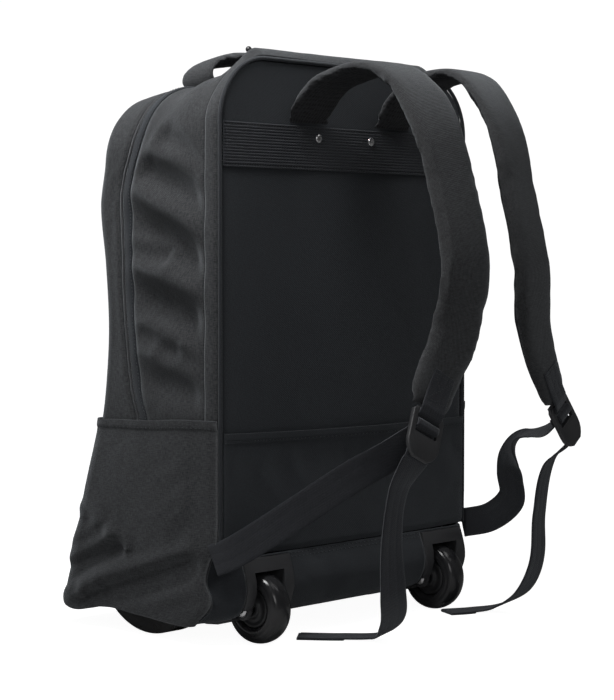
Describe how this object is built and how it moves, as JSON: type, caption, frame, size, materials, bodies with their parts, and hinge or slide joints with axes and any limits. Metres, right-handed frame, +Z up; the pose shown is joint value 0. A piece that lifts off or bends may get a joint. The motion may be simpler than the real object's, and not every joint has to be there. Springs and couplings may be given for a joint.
{
  "type": "wheeled backpack",
  "caption": "Upright wheeled backpack in dark grey melange cloth with padded carrying straps, side pockets, wheels and feet.",
  "frame": {"origin": "middle of the underside of the whole part's bounding box, on the ground", "axes": "+Z up, +Y from the back panel towards the front of the bag, +X to the right as seen from behind"},
  "size_m": [0.3458, 0.3819, 0.5165],
  "materials": {
    "melange_cloth": "matt two-tone weave",
    "panel_cloth": "matt fine weave",
    "webbing": "matt ribbed weave",
    "zip_and_piping": "matt",
    "plastic": "satin",
    "tyre": "glossy",
    "metal": "polished"
  },
  "bodies": {
    "bag": {"rear_edge_strip": "panel_cloth", "main_gusset": "melange_cloth", "side_zip": "zip_and_piping", "front_gusset": "melange_cloth", "side_pocket_left": "melange_cloth", "side_pocket_right": "melange_cloth", "back_panel": "panel_cloth", "front_panel": "melange_cloth", "back_piping": "zip_and_piping", "webbing_band": "webbing", "rivet_left": "metal", "rivet_right": "metal", "lower_back_pocket": "panel_cloth", "base_panel": "panel_cloth", "wheel_housing_left": "plastic", "axle_left": "metal", "foot_left": "plastic", "wheel_housing_right": "plastic", "axle_right": "metal", "foot_right": "plastic", "shoulder_strap_left": "melange_cloth", "ladder_lock_left": "plastic", "strap_patch_left": "webbing", "lower_webbing_left": "webbing", "strap_tail_left": "webbing", "shoulder_strap_right": "melange_cloth", "ladder_lock_right": "plastic", "strap_patch_right": "webbing", "lower_webbing_right": "webbing", "strap_tail_right": "webbing", "grab_handle": "melange_cloth"},
    "wheel_left": {"tyre_left": "tyre", "hub_left": "plastic"},
    "wheel_right": {"tyre_right": "tyre", "hub_right": "plastic"}
  },
  "joints": [
    {"name": "wheel_left_turn", "type": "hinge", "parent": "bag", "child": "wheel_left", "pos_m": [-0.1185, -0.01897, 0.031], "axis": [1, 0, 0], "continuous": true},
    {"name": "wheel_right_turn", "type": "hinge", "parent": "bag", "child": "wheel_right", "pos_m": [0.1185, -0.01897, 0.031], "axis": [1, 0, 0], "continuous": true}
  ]
}
